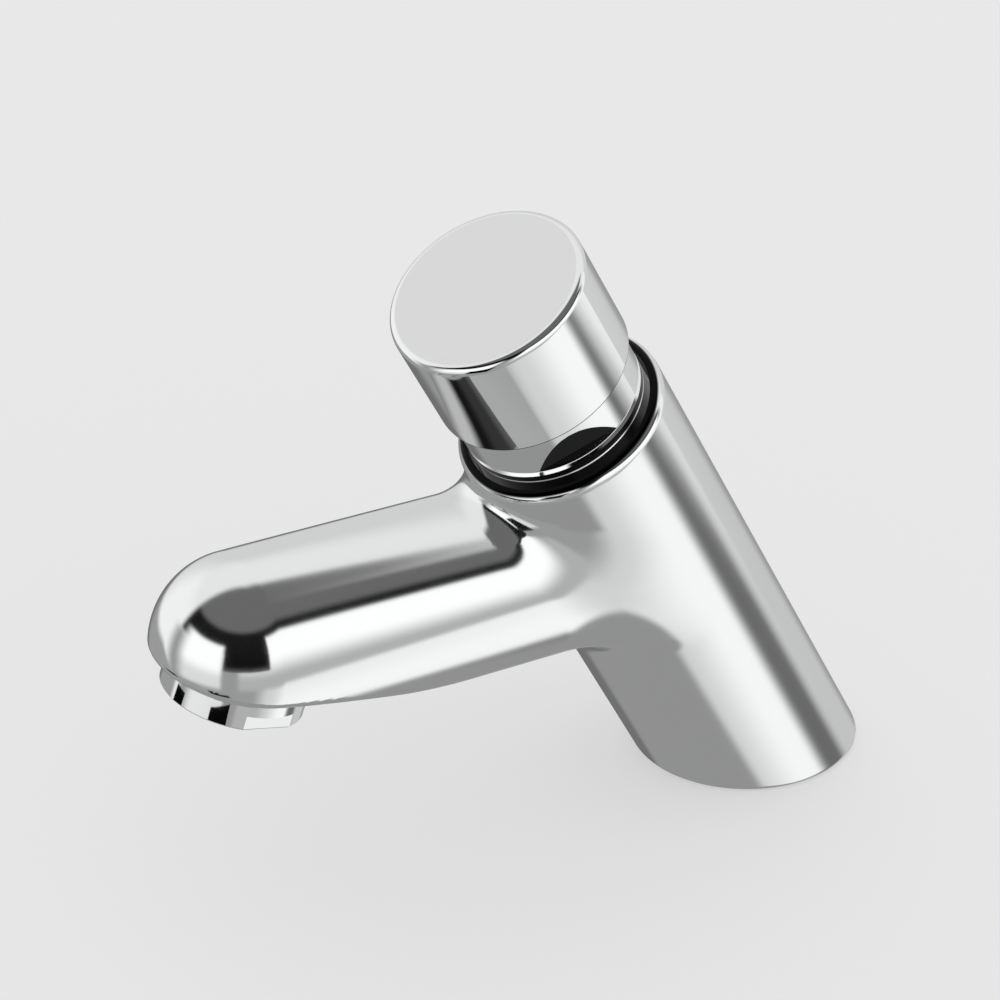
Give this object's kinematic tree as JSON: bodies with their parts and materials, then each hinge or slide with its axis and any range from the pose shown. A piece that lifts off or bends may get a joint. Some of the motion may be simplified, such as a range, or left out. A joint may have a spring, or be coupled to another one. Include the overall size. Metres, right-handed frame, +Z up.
{
  "type": "push timed tap",
  "caption": "Leaning self-closing basin tap with a sprung push button, a horizontal spout and a tilted aerator.",
  "frame": {"origin": "mouth of the fixing hole, at the centre of the base on the deck plane", "axes": "+Z up, -Y along the spout towards the user, +X to the right as seen from behind the spout's tip looking at the barrel"},
  "size_m": [0.042, 0.1673, 0.1331],
  "materials": {
    "chromed_brass": "mirror chrome plate",
    "chromed_button": "chrome plate with a satin face",
    "brass": "turned",
    "stainless": "turned",
    "spring_steel": "drawn wire",
    "acetal": "moulded",
    "rubber": "moulded"
  },
  "bodies": {
    "tap": {"tap_body": "chromed_brass", "bonnet": "chromed_brass", "bonnet_oring": "rubber", "cartridge_sleeve": "brass", "sleeve_oring_lower": "rubber", "sleeve_oring_upper": "rubber", "seat_ring": "brass", "seat_gasket": "rubber", "gland_bush": "acetal", "stem_oring": "rubber", "gland_washer": "stainless", "timing_needle": "stainless", "spring_washer": "stainless", "return_spring": "spring_steel", "inlet_strainer": "stainless", "base_gasket": "rubber", "aerator_housing": "chromed_brass", "aerator_insert": "acetal", "aerator_sieve": "stainless", "aerator_gasket": "rubber"},
    "plunger": {"push_button": "chromed_button", "button_liner": "acetal", "stem": "stainless", "piston": "acetal", "lip_seal": "rubber", "piston_clip": "stainless", "valve_carrier": "brass", "valve_washer": "rubber", "valve_nut": "brass"}
  },
  "joints": [
    {"name": "button_push", "type": "slide", "parent": "tap", "child": "plunger", "axis": [0, 0.5299, -0.848], "range_m": [0, 0.007], "stiffness_N_per_m": 1200, "springref_m": -0.012, "deforming": ["return_spring"]}
  ]
}
